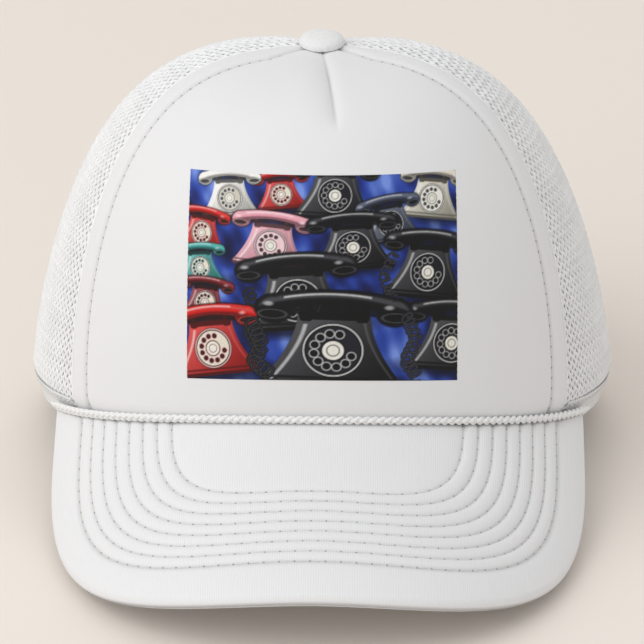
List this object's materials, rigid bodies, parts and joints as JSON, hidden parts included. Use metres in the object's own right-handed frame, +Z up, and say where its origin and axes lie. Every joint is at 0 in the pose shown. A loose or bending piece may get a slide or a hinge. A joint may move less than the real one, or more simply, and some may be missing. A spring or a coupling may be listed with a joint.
{
  "type": "baseball cap",
  "caption": "Foam-front, mesh-back cap with a curved stitched visor, a rope over the visor seam, a covered top button and a rear snap strap.",
  "frame": {"origin": "bottom centre of the bounding box, on the surface the cap stands on", "axes": "+Z up, the visor points to -Y and the snap strap is at +Y, +X is the wearer's left"},
  "size_m": [0.2004, 0.2516, 0.1483],
  "materials": {
    "foam_fabric": "smooth knit over foam, matt",
    "mesh_fabric": "open knitted mesh",
    "tape_cotton": "woven tape",
    "twill": "fine ribbed weave, matt",
    "board_plastic": "flexible sheet",
    "rope_cord": "two-strand braid",
    "pad_foam": "soft foam strip",
    "strap_plastic": "satin moulded",
    "steel": "plain",
    "label_satin": "satin, blank"
  },
  "bodies": {
    "cap": {"front_panel": "foam_fabric", "side_panel_left": "mesh_fabric", "side_panel_right": "mesh_fabric", "rear_panel_left": "mesh_fabric", "rear_panel_right": "mesh_fabric", "hem_tape_left": "tape_cotton", "hem_tape_right": "tape_cotton", "front_seam_tape_left": "tape_cotton", "front_seam_tape_right": "tape_cotton", "side_seam_tape_left": "tape_cotton", "side_seam_tape_right": "tape_cotton", "rear_arch_binding": "tape_cotton", "sweatband": "twill", "forehead_pad": "pad_foam", "size_label": "label_satin", "visor_top_cover": "twill", "visor_board": "board_plastic", "visor_under_cover": "twill", "visor_rope": "rope_cord", "top_button": "twill", "button_rivet": "steel", "hole_strap_root": "strap_plastic", "peg_strap_root": "strap_plastic"},
    "hole_strap": {"hole_strap": "strap_plastic"},
    "peg_strap": {"peg_strap": "strap_plastic"}
  },
  "joints": [
    {"name": "hole_strap_hinge", "type": "hinge", "parent": "cap", "child": "hole_strap", "pos_m": [0.04077, 0.1162, 0.01279], "axis": [0.0137, 0.0294, -0.9995], "range_deg": [0, 60]},
    {"name": "peg_strap_hinge", "type": "hinge", "parent": "cap", "child": "peg_strap", "pos_m": [-0.04026, 0.11512, 0.01279], "axis": [-0.0137, 0.0294, -0.9995], "range_deg": [0, 30]}
  ]
}
